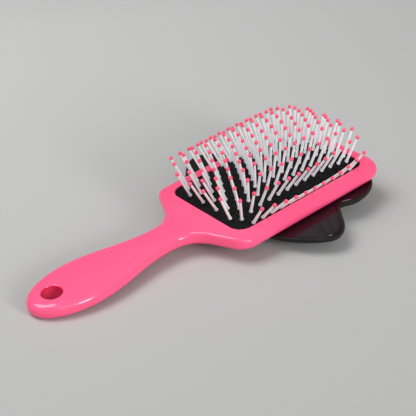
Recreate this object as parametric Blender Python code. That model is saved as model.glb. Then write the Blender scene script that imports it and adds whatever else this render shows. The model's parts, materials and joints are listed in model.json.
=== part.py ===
# Cushion paddle styling brush, lying on its back with the pins up.
#
# The brush is drawn in its own flat frame: X across the head, Y along the brush
# from the handle towards the far end of the head, with Y = 0 at the handle side
# of the window, and Z = 0 on the front face of the frame. The whole brush hangs
# on one empty, which tips it to its resting attitude: the butt of the handle and
# the two big wing domes of the back ornament stand on the floor.

import math

import bmesh
import bpy
from mathutils import Matrix, Vector

MM = 0.001

# Window of the frame, where the rubber cushion shows
WINDOW_WIDTH = 64.0 * MM
WINDOW_LENGTH = 108.0 * MM
WINDOW_CORNER = 8.5 * MM

# Outline of the head, neck and handle
RIM_SIDE = 9.1 * MM
RIM_END = 9.3 * MM
HEAD_CORNER = 14.0 * MM
SHOULDER_DROP = 3.3 * MM
SHOULDER_ANGLE = math.radians(25.7)
NECK_WIDTH = 19.7 * MM
NECK_RADIUS = 19.3 * MM
WAIST_LENGTH = 2.5 * MM
HANDLE_WIDTH = 37.2 * MM
HANDLE_SWELL_LENGTH = 57.0 * MM
HANDLE_BUTT_LENGTH = 34.3 * MM

# Body moulding and its back cover
BODY_THICKNESS = 9.4 * MM
FRONT_ROUND = 3.0 * MM
SIDE_LAND = 0.9 * MM
FRONT_WALL = 2.0 * MM
SIDE_WALL = 3.3 * MM
COVER_WALL = 2.0 * MM
LIP_DEPTH = 3.1 * MM
LIP_ROUND = 0.9 * MM

# Running and seating gaps
GAP = 0.3 * MM
CUT_OVERRUN = 2.0 * MM

# Corners that a cut leaves closer together than this are one corner
WELD = 0.002 * MM

# Hanging hole through the butt of the handle, and the tube around it
HANG_HOLE_RADIUS = 6.0 * MM
HANG_HOLE_INSET = 15.0 * MM
HANG_HOLE_ROUND = 1.4 * MM
HANG_TUBE_WALL = 2.4 * MM

# Pegs that hold the back cover inside the handle
PEG_RADIUS = 1.6 * MM
PEG_CUP_WALL = 1.4 * MM
PEG_CUP_HEIGHT = 3.4 * MM
PEG_DEPTH = 2.8 * MM
PEG_PLACE_SHARES = (0.0, 0.42, 0.84)

# Rubber cushion: a skin with a crown, and a flange held under the lip of the frame
SKIN = 1.1 * MM
CROWN_HEIGHT = 8.8 * MM
CROWN_ACROSS_POWER = 3.8
CROWN_ALONG_POWER = 4.2

# Pins: rows run along the brush, and every second row is set half a pitch on, with one pin less
ROW_COUNT = 11
PINS_IN_ROW = 14
ROW_END_SHARE = 0.15
SIDE_MARGIN = 2.0 * MM
END_MARGIN = 5.4 * MM
CORNER_CLEARANCE = 2.9 * MM
PIN_LENGTH = 19.7 * MM
PIN_SIDES = 4
ROOT_RADIUS = 0.45 * MM
FOOT_RADIUS = 1.2 * MM
FOOT_HEIGHT = 1.5 * MM
SHAFT_RADIUS_LOW = 0.82 * MM
SHAFT_RADIUS_TOP = 0.68 * MM
TIP_RADIUS = 1.25 * MM
RUNNER_WIDTH = 2.2 * MM
RUNNER_THICKNESS = 0.9 * MM
RUNNER_DROP = 0.5 * MM

# Splay of the pins, as sideways lean over height, for shares of the half window
LEAN_ACROSS_SHARES = (0.55, 0.70, -0.77)
LEAN_ALONG_SHARES = (0.26, 0.34, -0.34)
HANDLE_LEAN_SHARE = 0.05

# Ornament on the back: a butterfly plate that carries domed wing panels
ORNAMENT_HALF_SPAN = 66.0 * MM
ORNAMENT_LENGTH = 94.0 * MM
ORNAMENT_INSET = 5.3 * MM
PLATE_THICKNESS = 2.8 * MM
PLATE_ROUND = 1.0 * MM
ORNAMENT_WALL = 1.8 * MM
FORE_RELIEF = 8.5 * MM
HIND_RELIEF = 6.0 * MM
THORAX_RELIEF = 7.0 * MM
FORE_HALF_LENGTH = 20.0 * MM
FORE_HALF_WIDTH = 15.0 * MM
HIND_HALF_LENGTH = 15.0 * MM
HIND_HALF_WIDTH = 13.0 * MM
THORAX_HALF_LENGTH = 33.0 * MM
THORAX_HALF_WIDTH = 6.0 * MM
FORE_ANGLE = math.radians(15.0)
HIND_ANGLE = math.radians(50.0)

# Half outline of the plate, as shares of the half span and of the length
PLATE_OUTLINE_SHARES = (
    (0.00, 0.20), (0.12, 0.12), (0.36, 0.01), (0.64, 0.05), (0.87, 0.17),
    (0.985, 0.30), (0.93, 0.42), (0.76, 0.52), (0.67, 0.58), (0.715, 0.70),
    (0.68, 0.85), (0.57, 0.96), (0.38, 1.00), (0.20, 0.96), (0.08, 0.87), (0.00, 0.83),
)
FORE_CENTRE_SHARES = (0.53, 0.29)
HIND_CENTRE_SHARES = (0.39, 0.77)
THORAX_CENTRE_SHARE = 0.51

# Dome section, as shares of the outline and of the height, rim first
DOME_SECTION_SHARES = ((1.0, 0.0), (0.985, 0.36), (0.88, 0.70), (0.62, 0.92), (0.30, 0.99))
DOME_HOLLOW_SHARES = ((1.0, 0.0), (0.90, 0.62), (0.55, 0.93))

# Self-tapping screws that hold shell, plate and panels together from inside
SCREW_RADIUS = 1.0 * MM
SCREW_HEAD_RADIUS = 2.0 * MM
SCREW_HEAD_HEIGHT = 1.2 * MM
SCREW_BITE = 3.2 * MM
SCREW_TIP = 0.9 * MM
SCREW_TIP_SHARE = 0.25
SCREW_CROWN_SHARE = 0.8
SCREW_BOSS_WALL = 1.3 * MM
WING_SCREW_SHARE = 0.62
THORAX_SCREW_SHARE = 0.45

# Facets of round shapes
CORNER_STEPS = 4
BUTT_STEPS = 9
SWELL_STEPS = 7
EDGE_STEPS = 3
BACK_STEPS = 5
LIP_STEPS = 2
ROUND_SIDES = 12
HOLE_SIDES = 24
PLATE_STEPS = 3
DOME_SIDES = 24
TILT_ROUNDS = 6

# Sizes and levels that follow from those above
HALF_WINDOW = WINDOW_WIDTH / 2
HALF_HEAD = HALF_WINDOW + RIM_SIDE
HEAD_END = WINDOW_LENGTH + RIM_END
BACK_ROUND = BODY_THICKNESS - FRONT_ROUND - SIDE_LAND
ORNAMENT_START = HEAD_END - ORNAMENT_INSET - ORNAMENT_LENGTH
COVER_FLOOR = -BODY_THICKNESS + COVER_WALL
FLANGE_WIDTH = min(RIM_SIDE, RIM_END) - SIDE_WALL - GAP
FLANGE_TOP = -LIP_DEPTH - GAP
FLANGE_BOTTOM = FLANGE_TOP - SKIN
RING_TOP = FLANGE_BOTTOM - GAP
RING_BOTTOM = COVER_FLOOR + GAP
PLATE_TOP = -BODY_THICKNESS - GAP
PLATE_BOTTOM = PLATE_TOP - PLATE_THICKNESS
PANEL_TOP = PLATE_BOTTOM - GAP
ROW_PITCH = (WINDOW_WIDTH - 2 * SIDE_MARGIN) / (ROW_COUNT - 1)
PIN_PITCH = (WINDOW_LENGTH - 2 * END_MARGIN) / (PINS_IN_ROW - 1)

# A three-cornered hole is half as wide inside as across its corners
HOLE_RADIUS = 2 * (ROOT_RADIUS + GAP)


# Scene and object helpers

def clear_scene():
    for item in list(bpy.data.objects):
        bpy.data.objects.remove(item, do_unlink=True)


def make_material(name, colour, roughness, metallic=0.0):
    material = bpy.data.materials.new(name)
    material.use_nodes = True
    shader = material.node_tree.nodes["Principled BSDF"]
    shader.inputs["Base Color"].default_value = (*colour, 1.0)
    shader.inputs["Roughness"].default_value = roughness
    shader.inputs["Metallic"].default_value = metallic
    material.diffuse_color = (*colour, 1.0)
    return material


def make_object(name, mesh_builder, material=None, parent=None):
    bmesh.ops.recalc_face_normals(mesh_builder, faces=mesh_builder.faces)
    mesh = bpy.data.meshes.new(name)
    mesh_builder.to_mesh(mesh)
    mesh_builder.free()
    item = bpy.data.objects.new(name, mesh)
    bpy.context.scene.collection.objects.link(item)
    if material is not None:
        mesh.materials.append(material)
    item.parent = parent
    return item


def make_empty(name, parent, place):
    empty = bpy.data.objects.new(name, None)
    bpy.context.scene.collection.objects.link(empty)
    empty.parent = parent
    empty.location = place
    return empty


def combine(target, tool, operation):
    """Joins or cuts one object with another, and takes the tool away."""
    modifier = target.modifiers.new(operation.title(), "BOOLEAN")
    modifier.operation = operation
    modifier.object = tool
    depsgraph = bpy.context.evaluated_depsgraph_get()
    mesh = bpy.data.meshes.new_from_object(target.evaluated_get(depsgraph))
    target.modifiers.remove(modifier)
    builder = bmesh.new()
    builder.from_mesh(mesh)
    bmesh.ops.remove_doubles(builder, verts=builder.verts, dist=WELD)
    builder.to_mesh(mesh)
    builder.free()
    old_mesh = target.data
    target.data = mesh
    mesh.name = target.name
    bpy.data.meshes.remove(old_mesh)
    bpy.data.objects.remove(tool, do_unlink=True)


def shade(item, angle=math.radians(35.0)):
    item.data.shade_smooth()
    item.data.set_sharp_from_angle(angle=angle)


# Outlines, as lists of points that run once round without closing

def arc_points(centre, radius, start, end, steps):
    points = []
    for step in range(steps + 1):
        angle = start + (end - start) * step / steps
        points.append(Vector((centre[0] + radius * math.cos(angle), centre[1] + radius * math.sin(angle))))
    return points


def window_outline(grow=0.0):
    """The rounded rectangle of the window, made larger all round by a length."""
    radius = WINDOW_CORNER + grow
    points = []
    corners = (
        (HALF_WINDOW - WINDOW_CORNER, WINDOW_CORNER, -math.pi / 2),
        (HALF_WINDOW - WINDOW_CORNER, WINDOW_LENGTH - WINDOW_CORNER, 0.0),
        (WINDOW_CORNER - HALF_WINDOW, WINDOW_LENGTH - WINDOW_CORNER, math.pi / 2),
        (WINDOW_CORNER - HALF_WINDOW, WINDOW_CORNER, math.pi),
    )
    for x, y, start in corners:
        points += arc_points((x, y), radius, start, start + math.pi / 2, CORNER_STEPS)
    return points


def body_half_outline():
    """Right half of the brush outline, from the butt of the handle to the far end."""
    half_neck = NECK_WIDTH / 2
    half_handle = HANDLE_WIDTH / 2
    turn = math.pi / 2 - SHOULDER_ANGLE
    shoulder_y = -SHOULDER_DROP
    neck_corner_y = shoulder_y - (HALF_HEAD - half_neck) * math.tan(SHOULDER_ANGLE)
    neck_start_y = neck_corner_y - NECK_RADIUS * math.tan(turn / 2)
    head_arc_y = shoulder_y + HEAD_CORNER * math.tan(turn / 2)
    waist_y = neck_start_y - WAIST_LENGTH
    widest_y = waist_y - HANDLE_SWELL_LENGTH
    points = []
    for step in range(BUTT_STEPS + 1):
        angle = math.pi / 2 * step / BUTT_STEPS
        y = widest_y - HANDLE_BUTT_LENGTH * math.cos(angle)
        points.append(Vector((half_handle * math.sin(angle), y)))
    for step in range(1, SWELL_STEPS + 1):
        share = step / SWELL_STEPS
        swell = (1 + math.cos(math.pi * share)) / 2
        x = half_neck + (half_handle - half_neck) * swell
        points.append(Vector((x, widest_y + HANDLE_SWELL_LENGTH * share)))
    neck_centre = (half_neck + NECK_RADIUS, neck_start_y)
    points += arc_points(neck_centre, NECK_RADIUS, math.pi, math.pi - turn, CORNER_STEPS)
    low_corner = (HALF_HEAD - HEAD_CORNER, head_arc_y)
    points += arc_points(low_corner, HEAD_CORNER, -turn, 0.0, CORNER_STEPS)
    far_corner = (HALF_HEAD - HEAD_CORNER, HEAD_END - HEAD_CORNER)
    points += arc_points(far_corner, HEAD_CORNER, 0.0, math.pi / 2, CORNER_STEPS)
    return points


def mirrored(half):
    """A whole outline from its right half, whose end points may lie on the centre line."""
    left = [Vector((-point.x, point.y)) for point in reversed(half) if point.x > GAP / 100]
    return half + left


def offset_outline(points, inset):
    """Moves an outline inwards by a length, square to its run."""
    moved = []
    count = len(points)
    for index, point in enumerate(points):
        before = (point - points[index - 1]).normalized()
        after = (points[(index + 1) % count] - point).normalized()
        normal = Vector((-(before.y + after.y), before.x + after.x)).normalized()
        reach = inset / max(normal.dot(Vector((-before.y, before.x))), 0.5)
        moved.append(point + normal * reach)
    return moved


def smooth_outline(points, steps):
    """A closed curve through the points, each stretch cut in the same number of steps."""
    curve = []
    count = len(points)
    for index in range(count):
        before, start, end, after = (points[(index + shift) % count] for shift in (-1, 0, 1, 2))
        for step in range(steps):
            t = step / steps
            curve.append(0.5 * (2 * start + (end - before) * t
                                + (2 * before - 5 * start + 4 * end - after) * t ** 2
                                + (3 * start - 3 * end + after - before) * t ** 3))
    return curve


def ellipse_outline(centre, half_length, half_width, angle, sides):
    points = []
    turn = Matrix.Rotation(angle, 2)
    for side in range(sides):
        place = 2 * math.pi * side / sides
        spoke = Vector((half_length * math.cos(place), half_width * math.sin(place)))
        points.append(Vector(centre) + turn @ spoke)
    return points


# Solids from outlines

def loft(builder, rings, cap_start=True, cap_end=True):
    """Skins rings of equal counts of points, and closes the first and the last."""
    loops = [[builder.verts.new(point) for point in ring] for ring in rings]
    count = len(loops[0])
    for low, high in zip(loops, loops[1:]):
        for index in range(count):
            after = (index + 1) % count
            builder.faces.new((low[index], low[after], high[after], high[index]))
    if cap_start:
        builder.faces.new(list(reversed(loops[0])))
    if cap_end:
        builder.faces.new(loops[-1])
    return loops


def slab(outline, levels):
    """A solid from one outline: each level has its inset and its height."""
    builder = bmesh.new()
    rings = []
    for inset, height in levels:
        rings.append([point.to_3d() + Vector((0, 0, height)) for point in offset_outline(outline, inset)])
    loft(builder, rings)
    return builder


def round_levels(radius, edge_height, flat_height, steps):
    """Insets and heights of a quarter round, from the side to the flat face."""
    levels = []
    for step in range(steps + 1):
        angle = math.pi / 2 * step / steps
        height = edge_height + (flat_height - edge_height) * math.sin(angle)
        levels.append((radius * (1 - math.cos(angle)), height))
    return levels


def cylinder(centre, radius, low, high, sides=ROUND_SIDES):
    circle = ellipse_outline(centre, radius, radius, 0.0, sides)
    return slab(circle, ((0.0, low), (0.0, high)))


def turned(centre, profile, sides=ROUND_SIDES):
    """A solid of revolution about an upright axis, from radius and height pairs."""
    builder = bmesh.new()
    rings = []
    for radius, height in profile:
        circle = ellipse_outline(centre, radius, radius, 0.0, sides)
        rings.append([point.to_3d() + Vector((0, 0, height)) for point in circle])
    loft(builder, rings)
    return builder


def add_cylinder(target, centre, radius, low, high, sides=ROUND_SIDES):
    combine(target, make_object("addition", cylinder(centre, radius, low, high, sides)), "UNION")


def cut_cylinder(target, centre, radius, low, high, sides=ROUND_SIDES):
    combine(target, make_object("cutter", cylinder(centre, radius, low, high, sides)), "DIFFERENCE")


# Places shared by the pieces

def handle_end():
    return body_half_outline()[0].y


def hang_hole_centre():
    return (0.0, handle_end() + HANG_HOLE_INSET)


def peg_centres():
    """Pegs along the middle of the handle, from the hang hole to the neck."""
    start = hang_hole_centre()[1] + HANG_HOLE_RADIUS + HANG_TUBE_WALL + PEG_RADIUS + PEG_CUP_WALL + GAP * 2
    end = body_half_outline()[BUTT_STEPS + SWELL_STEPS].y
    return [(0.0, start + (end - start) * share) for share in PEG_PLACE_SHARES]


def ornament_place(shares):
    return Vector((ORNAMENT_HALF_SPAN * shares[0], ORNAMENT_START + ORNAMENT_LENGTH * shares[1]))


def wing_panels():
    """Name, centre, half length, half width, angle and relief of the four wing panels."""
    panels = []
    for side, word in ((-1, "left"), (1, "right")):
        fore = ornament_place(FORE_CENTRE_SHARES)
        hind = ornament_place(HIND_CENTRE_SHARES)
        fore_centre = Vector((side * fore.x, fore.y))
        hind_centre = Vector((side * hind.x, hind.y))
        panels.append(("fore_wing_" + word, fore_centre, FORE_HALF_LENGTH, FORE_HALF_WIDTH,
                       side * FORE_ANGLE, FORE_RELIEF, -side))
        panels.append(("hind_wing_" + word, hind_centre, HIND_HALF_LENGTH, HIND_HALF_WIDTH,
                       side * HIND_ANGLE, HIND_RELIEF, -side))
    return panels


def thorax_centre():
    return Vector((0.0, ORNAMENT_START + ORNAMENT_LENGTH * THORAX_CENTRE_SHARE))


def panel_screw(centre, half_length, angle, inward):
    """A wing panel's screw stands on its long axis, on the side of the thorax."""
    return centre + Matrix.Rotation(angle, 2) @ Vector((inward * half_length * WING_SCREW_SHARE, 0))


def screw_centres():
    places = []
    for _, centre, half_length, _, angle, _, inward in wing_panels():
        places.append(panel_screw(centre, half_length, angle, inward))
    for side in (-1, 1):
        places.append(thorax_centre() + Vector((0.0, side * THORAX_HALF_LENGTH * THORAX_SCREW_SHARE)))
    return places


# Body moulding and back cover

def back_round_height(inset):
    """Height of the rounded back edge at a distance in from the outline."""
    return -BODY_THICKNESS + BACK_ROUND - math.sqrt(BACK_ROUND ** 2 - (BACK_ROUND - inset) ** 2)


def hang_hole_cutter():
    """A round bore that opens out to both faces with a soft edge."""
    mouth_radius = HANG_HOLE_RADIUS + HANG_HOLE_ROUND
    flares = round_levels(HANG_HOLE_ROUND, 0.0, HANG_HOLE_ROUND, EDGE_STEPS)
    profile = [(mouth_radius, -BODY_THICKNESS - CUT_OVERRUN)]
    for inset, height in flares:
        profile.append((mouth_radius - height, -BODY_THICKNESS + inset))
    for inset, height in reversed(flares):
        profile.append((mouth_radius - height, -inset))
    profile.append((mouth_radius, CUT_OVERRUN))
    return turned(hang_hole_centre(), profile, HOLE_SIDES)


def make_body(material, parent):
    """Handle and frame in one hollow moulding, open at the back."""
    outline = mirrored(body_half_outline())
    back = round_levels(BACK_ROUND, -BODY_THICKNESS + BACK_ROUND, -BODY_THICKNESS, BACK_STEPS)
    front = round_levels(FRONT_ROUND, -FRONT_ROUND, 0.0, EDGE_STEPS)
    body = make_object("body", slab(outline, list(reversed(back)) + front), material, parent)
    head_pocket = slab(outline, ((SIDE_WALL, -BODY_THICKNESS - CUT_OVERRUN), (SIDE_WALL, -LIP_DEPTH)))
    combine(body, make_object("cutter", head_pocket), "DIFFERENCE")
    handle = mirrored(body_half_outline()[:BUTT_STEPS + SWELL_STEPS + 1])
    inset = SIDE_WALL + GAP
    handle_pocket = slab(handle, ((inset, -BODY_THICKNESS - CUT_OVERRUN), (inset, -FRONT_WALL)))
    combine(body, make_object("cutter", handle_pocket), "DIFFERENCE")
    window_levels = [(0.0, -BODY_THICKNESS)]
    for inset, height in round_levels(LIP_ROUND, -LIP_ROUND, 0.0, LIP_STEPS):
        window_levels.append((-inset, height))
    window_levels.append((-LIP_ROUND, CUT_OVERRUN))
    combine(body, make_object("cutter", slab(window_outline(), window_levels)), "DIFFERENCE")
    tube_radius = HANG_HOLE_RADIUS + HANG_TUBE_WALL
    add_cylinder(body, hang_hole_centre(), tube_radius, -BODY_THICKNESS, -FRONT_WALL / 2, HOLE_SIDES)
    combine(body, make_object("cutter", hang_hole_cutter()), "DIFFERENCE")
    peg_end = COVER_FLOOR + PEG_CUP_HEIGHT - PEG_DEPTH + GAP
    for centre in peg_centres():
        add_cylinder(body, centre, PEG_RADIUS, peg_end, -FRONT_WALL / 2)
    shade(body)
    return body


def make_back_cover(material, parent):
    """Plate that closes the body from behind, in line with its rounded edge."""
    edge = SIDE_WALL + GAP
    levels = (
        (BACK_ROUND, -BODY_THICKNESS),
        (edge, back_round_height(edge)),
        (edge, COVER_FLOOR),
    )
    cover = make_object("back_cover", slab(mirrored(body_half_outline()), levels), material, parent)
    tube_radius = HANG_HOLE_RADIUS + HANG_TUBE_WALL
    cut_cylinder(cover, hang_hole_centre(), tube_radius + GAP,
                 -BODY_THICKNESS - CUT_OVERRUN, CUT_OVERRUN, HOLE_SIDES)
    cup_top = COVER_FLOOR + PEG_CUP_HEIGHT
    for centre in peg_centres():
        add_cylinder(cover, centre, PEG_RADIUS + GAP + PEG_CUP_WALL, COVER_FLOOR - COVER_WALL / 2, cup_top)
        cut_cylinder(cover, centre, PEG_RADIUS + GAP, cup_top - PEG_DEPTH, CUT_OVERRUN)
    for centre in screw_centres():
        cut_cylinder(cover, centre, SCREW_RADIUS + GAP, -BODY_THICKNESS - CUT_OVERRUN, CUT_OVERRUN)
    shade(cover)
    return cover


# Rubber cushion with its pin holes, and the ring that clamps it

def crown(x, y):
    """Height of the cushion's skin over the window."""
    across = min(abs(x) / HALF_WINDOW, 1.0)
    along = min(abs(y - WINDOW_LENGTH / 2) / (WINDOW_LENGTH / 2), 1.0)
    share = (1 - across ** CROWN_ACROSS_POWER) * (1 - along ** CROWN_ALONG_POWER)
    return FLANGE_TOP + (CROWN_HEIGHT - FLANGE_TOP) * share


def pin_axis(x, y):
    """Unit direction of a pin: upright in the middle, leaning out towards the rim."""
    across = x / HALF_WINDOW
    along = (y - WINDOW_LENGTH / 2) / (WINDOW_LENGTH / 2)
    lean_x = across * (LEAN_ACROSS_SHARES[0] + LEAN_ACROSS_SHARES[1] * across ** 2
                       + LEAN_ACROSS_SHARES[2] * along ** 2)
    lean_y = along * (LEAN_ALONG_SHARES[0] + LEAN_ALONG_SHARES[1] * along ** 2
                      + LEAN_ALONG_SHARES[2] * across ** 2) - HANDLE_LEAN_SHARE
    return Vector((lean_x, lean_y, 1.0)).normalized()


def clear_of_corner(x, y):
    """Whether a pin keeps its clearance to the rounded corners of the window."""
    corner_x = max(abs(x) - (HALF_WINDOW - WINDOW_CORNER), 0.0)
    corner_y = max(abs(y - WINDOW_LENGTH / 2) - (WINDOW_LENGTH / 2 - WINDOW_CORNER), 0.0)
    if corner_x == 0.0 or corner_y == 0.0:
        return True
    return math.hypot(corner_x, corner_y) < WINDOW_CORNER - CORNER_CLEARANCE


def pin_rows():
    """Foot points of the pins, row by row from the left side to the right."""
    rows = []
    for row in range(ROW_COUNT):
        x = (row - (ROW_COUNT - 1) / 2) * ROW_PITCH
        set_on = row % 2
        row_feet = []
        for index in range(PINS_IN_ROW - set_on):
            y = END_MARGIN + PIN_PITCH * (index + set_on / 2)
            if clear_of_corner(x, y):
                row_feet.append(Vector((x, y, crown(x, y))))
        rows.append(row_feet)
    return rows


def make_cushion(material, parent):
    """A skin over the window with one three-cornered hole for each pin, and a flange."""
    builder = bmesh.new()
    edge_points = window_outline(-GAP)
    edge_top = [builder.verts.new((point.x, point.y, 0.0)) for point in edge_points]
    loops = [edge_top]
    low_place = {}
    for vert, point in zip(edge_top, window_outline(-GAP - SKIN)):
        low_place[vert] = Vector((point.x, point.y, FLANGE_BOTTOM))
    for feet in pin_rows():
        for foot in feet:
            axis = pin_axis(foot.x, foot.y)
            start = math.pi if foot.x > 0 else 0.0
            loop = []
            for corner in range(3):
                angle = start + 2 * math.pi * corner / 3
                x = foot.x + HOLE_RADIUS * math.cos(angle)
                y = foot.y + HOLE_RADIUS * math.sin(angle)
                vert = builder.verts.new((x, y, 0.0))
                low_place[vert] = Vector((x, y, crown(x, y))) - axis * (SKIN / axis.z)
                loop.append(vert)
            loops.append(loop)
    rim_edges = []
    for loop in loops:
        for index, vert in enumerate(loop):
            rim_edges.append(builder.edges.new((vert, loop[(index + 1) % len(loop)])))
    bmesh.ops.triangle_fill(builder, use_beauty=True, edges=rim_edges, normal=(0, 0, 1))
    top_faces = list(builder.faces)
    for vert in builder.verts:
        vert.co.z = crown(vert.co.x, vert.co.y)
    for vert in edge_top:
        vert.co.z = FLANGE_TOP
    low_vert = {vert: builder.verts.new(place) for vert, place in low_place.items()}
    for face in top_faces:
        builder.faces.new([low_vert[vert] for vert in reversed(face.verts)])
    for loop in loops[1:]:
        for index, vert in enumerate(loop):
            after = loop[(index + 1) % len(loop)]
            builder.faces.new((vert, after, low_vert[after], low_vert[vert]))
    flange_points = window_outline(FLANGE_WIDTH)
    flange_top = [builder.verts.new((point.x, point.y, FLANGE_TOP)) for point in flange_points]
    flange_low = [builder.verts.new((point.x, point.y, FLANGE_BOTTOM)) for point in flange_points]
    edge_low = [low_vert[vert] for vert in edge_top]
    for inner, outer in ((edge_top, flange_top), (flange_top, flange_low), (flange_low, edge_low)):
        for index in range(len(inner)):
            after = (index + 1) % len(inner)
            builder.faces.new((inner[index], inner[after], outer[after], outer[index]))
    cushion = make_object("cushion", builder, material, parent)
    shade(cushion, math.radians(60.0))
    return cushion


def make_clamp_ring(material, parent):
    ring_slab = slab(window_outline(FLANGE_WIDTH), ((0.0, RING_BOTTOM), (0.0, RING_TOP)))
    ring = make_object("clamp_ring", ring_slab, material, parent)
    bore = slab(window_outline(GAP * 2), ((0.0, RING_BOTTOM - CUT_OVERRUN), (0.0, CUT_OVERRUN)))
    combine(ring, make_object("cutter", bore), "DIFFERENCE")
    shade(ring)
    return ring


# Pins, on runners under the skin

def add_pin(builder, foot, axis):
    """One pin: root through the skin, flared foot, tapered shaft and ball tip."""
    side = axis.cross(Vector((0, 1, 0))).normalized()
    front = side.cross(axis)
    skin_run = (SKIN + RUNNER_DROP + RUNNER_THICKNESS / 2) / axis.z
    rings = (
        (-skin_run, ROOT_RADIUS),
        (GAP, ROOT_RADIUS),
        (GAP, FOOT_RADIUS),
        (FOOT_HEIGHT, SHAFT_RADIUS_LOW),
        (PIN_LENGTH - TIP_RADIUS, SHAFT_RADIUS_TOP),
        (PIN_LENGTH, TIP_RADIUS),
    )
    loops = []
    for distance, radius in rings:
        loop = []
        for corner in range(PIN_SIDES):
            angle = 2 * math.pi * (corner + 1 / 2) / PIN_SIDES
            reach = side * math.cos(angle) + front * math.sin(angle)
            loop.append(foot + axis * distance + reach * radius)
        loops.append(loop)
    last = loft(builder, loops, cap_end=False)[-1]
    crest = builder.verts.new(foot + axis * (PIN_LENGTH + TIP_RADIUS))
    for index in range(PIN_SIDES):
        builder.faces.new((last[index], last[(index + 1) % PIN_SIDES], crest))


def runner_mesh(feet):
    """A thin strip that follows the crown under the skin, from pin to pin."""
    centres = []
    for foot in feet:
        axis = pin_axis(foot.x, foot.y)
        drop = (SKIN + RUNNER_DROP + RUNNER_THICKNESS / 2) / axis.z
        centres.append(foot - axis * drop)
    first_run = (centres[0] - centres[1]).normalized()
    last_run = (centres[-1] - centres[-2]).normalized()
    stations = [centres[0] + first_run * RUNNER_WIDTH / 2] + centres[1:-1]
    stations.append(centres[-1] + last_run * RUNNER_WIDTH / 2)
    rings = []
    for index, station in enumerate(stations):
        before = stations[max(index - 1, 0)]
        after = stations[min(index + 1, len(stations) - 1)]
        run = (after - before).normalized()
        foot = feet[index]
        lean = pin_axis(foot.x, foot.y)
        across = Vector((lean.z, 0, -lean.x)).normalized() * RUNNER_WIDTH / 2
        up = across.cross(run).normalized() * RUNNER_THICKNESS / 2
        rings.append([station + across - up, station + across + up,
                      station - across + up, station - across - up])
    builder = bmesh.new()
    loft(builder, rings)
    return builder


def pin_strips():
    """Name and foot points of each strip: the outer rows are whole, the others in three."""
    strips = []
    rows = pin_rows()
    end_count = round(PINS_IN_ROW * ROW_END_SHARE)
    for number, feet in enumerate(rows, 1):
        name = "pin_strip_%02d" % number
        if number in (1, len(rows)):
            strips.append((name, feet))
            continue
        strips.append((name + "_handle_end", feet[:end_count]))
        strips.append((name + "_middle", feet[end_count:-end_count]))
        strips.append((name + "_far_end", feet[-end_count:]))
    return strips


def make_pin_strip(name, feet, material, parent):
    """Pins on one runner; the origin stands on the line along which the cushion is pressed."""
    strip = make_object(name, runner_mesh(feet), material)
    builder = bmesh.new()
    for foot in feet:
        add_pin(builder, foot, pin_axis(foot.x, foot.y))
    combine(strip, make_object("addition", builder), "UNION")
    strip.data.transform(Matrix.Translation(-parent.location))
    strip.parent = parent
    shade(strip)
    return strip


# Ornament on the back

def make_ornament_plate(material, parent):
    half = [ornament_place(shares) for shares in PLATE_OUTLINE_SHARES]
    outline = smooth_outline(mirrored(half), PLATE_STEPS)
    levels = (
        (PLATE_ROUND, PLATE_BOTTOM),
        (0.0, PLATE_BOTTOM + PLATE_ROUND),
        (0.0, PLATE_TOP - PLATE_ROUND),
        (PLATE_ROUND, PLATE_TOP),
    )
    plate = make_object("ornament_plate", slab(outline, levels), material, parent)
    for centre in screw_centres():
        cut_cylinder(plate, centre, SCREW_RADIUS + GAP, PLATE_BOTTOM - CUT_OVERRUN, CUT_OVERRUN)
    shade(plate)
    return plate


def dome_solid(outline, centre, depth, section, lift=0.0):
    """A solid dome that hangs down from the panel's rim to its crest."""
    rings = [[Vector((point.x, point.y, PANEL_TOP + lift)) for point in outline]] if lift else []
    for outline_share, depth_share in section:
        ring = []
        for point in outline:
            flat = centre + (point - centre) * outline_share
            ring.append(Vector((flat.x, flat.y, PANEL_TOP - depth * depth_share)))
        rings.append(ring)
    builder = bmesh.new()
    last = loft(builder, rings, cap_end=False)[-1]
    crest = builder.verts.new((centre.x, centre.y, PANEL_TOP - depth))
    for index in range(len(outline)):
        builder.faces.new((last[index], last[(index + 1) % len(outline)], crest))
    return builder


def make_dome_panel(name, outline, centre, relief, screws, material, parent):
    """A hollow dome, open towards the plate, with a boss for each of its screws."""
    panel = make_object(name, dome_solid(outline, centre, relief, DOME_SECTION_SHARES), material, parent)
    inner_outline = offset_outline(outline, ORNAMENT_WALL)
    inner_depth = relief - ORNAMENT_WALL
    hollow_solid = dome_solid(inner_outline, centre, inner_depth, DOME_HOLLOW_SHARES, CUT_OVERRUN)
    hollow = make_object("hollow", hollow_solid)
    for screw in screws:
        boss_radius = SCREW_RADIUS + GAP + SCREW_BOSS_WALL
        cut_cylinder(hollow, screw, boss_radius, PANEL_TOP - relief, PANEL_TOP + CUT_OVERRUN * 2)
    combine(panel, hollow, "DIFFERENCE")
    for screw in screws:
        cut_cylinder(panel, screw, SCREW_RADIUS + GAP, PANEL_TOP - SCREW_BITE - GAP, CUT_OVERRUN)
    shade(panel)
    return panel


def make_ornament(material, parent):
    """Plate, thorax and wings; gives back the wings, which the brush rests on."""
    make_ornament_plate(material, parent)
    wings = []
    for name, centre, half_length, half_width, angle, relief, inward in wing_panels():
        outline = ellipse_outline(centre, half_length, half_width, angle, DOME_SIDES)
        screw = panel_screw(centre, half_length, angle, inward)
        wings.append(make_dome_panel(name, outline, centre, relief, [screw], material, parent))
    centre = thorax_centre()
    outline = ellipse_outline(centre, THORAX_HALF_WIDTH, THORAX_HALF_LENGTH, 0.0, DOME_SIDES)
    screws = screw_centres()[-2:]
    make_dome_panel("thorax", outline, centre, THORAX_RELIEF, screws, material, parent)
    return wings


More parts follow.
